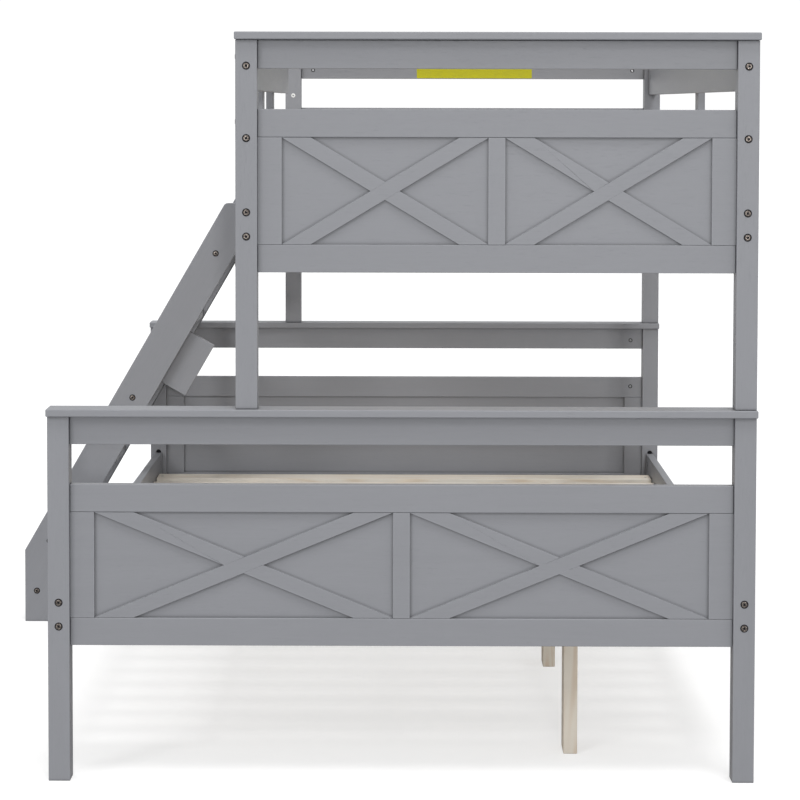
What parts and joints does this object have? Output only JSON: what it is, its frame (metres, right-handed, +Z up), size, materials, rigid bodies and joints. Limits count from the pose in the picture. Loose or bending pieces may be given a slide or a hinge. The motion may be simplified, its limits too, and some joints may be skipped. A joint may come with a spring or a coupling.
{
  "type": "bunk bed with ladder",
  "caption": "Twin-over-full bunk bed in grey painted wood with crossed end panels, slatted decks, guards and a sloping ladder.",
  "frame": {"origin": "on the floor, under the centre of the whole bed's box, ladder included", "axes": "+Z up, +Y along the bed from the foot end to the head end, +X across the bed, away from the ladder"},
  "size_m": [1.772, 2.03, 1.56],
  "materials": {
    "grey_paint": "satin grey paint over solid wood",
    "natural_pine": "unpainted planed pine"
  },
  "bodies": {
    "root": {"guard_left_low": "grey_paint", "guard_left_top": "grey_paint", "guard_left_upright_1": "grey_paint", "guard_left_upright_2": "grey_paint", "guard_right_low": "grey_paint", "guard_right_top": "grey_paint", "guard_right_upright_1": "grey_paint", "ladder_brace_block": "grey_paint", "ladder_head_rail": "grey_paint", "ladder_stretcher": "grey_paint", "ladder_stringer_far": "grey_paint", "ladder_stringer_near": "grey_paint", "ladder_tread_1": "grey_paint", "ladder_tread_2": "grey_paint", "ladder_tread_3": "grey_paint", "ladder_tread_4": "grey_paint", "ladder_tread_5": "grey_paint", "lower_cleat_left": "natural_pine", "lower_cleat_right": "natural_pine", "lower_foot_bottom_rail": "grey_paint", "lower_foot_cap": "grey_paint", "lower_foot_cross_panel": "grey_paint", "lower_foot_panel_top_rail": "grey_paint", "lower_foot_post_left": "grey_paint", "lower_foot_post_right": "grey_paint", "lower_foot_top_rail": "grey_paint", "lower_head_bottom_rail": "grey_paint", "lower_head_cap": "grey_paint", "lower_head_cross_panel": "grey_paint", "lower_head_panel_top_rail": "grey_paint", "lower_head_post_left": "grey_paint", "lower_head_post_right": "grey_paint", "lower_head_top_rail": "grey_paint", "lower_side_rail_left": "grey_paint", "lower_side_rail_right": "grey_paint", "lower_slat_deck": "natural_pine", "support_beam": "natural_pine", "support_leg_foot": "natural_pine", "support_leg_head": "natural_pine", "support_leg_middle": "natural_pine", "upper_cleat_left": "natural_pine", "upper_cleat_right": "natural_pine", "upper_foot_bottom_rail": "grey_paint", "upper_foot_cap": "grey_paint", "upper_foot_cross_panel": "grey_paint", "upper_foot_panel_top_rail": "grey_paint", "upper_foot_post_left": "grey_paint", "upper_foot_post_right": "grey_paint", "upper_foot_top_rail": "grey_paint", "upper_head_bottom_rail": "grey_paint", "upper_head_cap": "grey_paint", "upper_head_cross_panel": "grey_paint", "upper_head_panel_top_rail": "grey_paint", "upper_head_post_left": "grey_paint", "upper_head_post_right": "grey_paint", "upper_head_top_rail": "grey_paint", "upper_side_rail_left": "grey_paint", "upper_side_rail_right": "grey_paint", "upper_slat_deck": "natural_pine"}
  },
  "joints": []
}
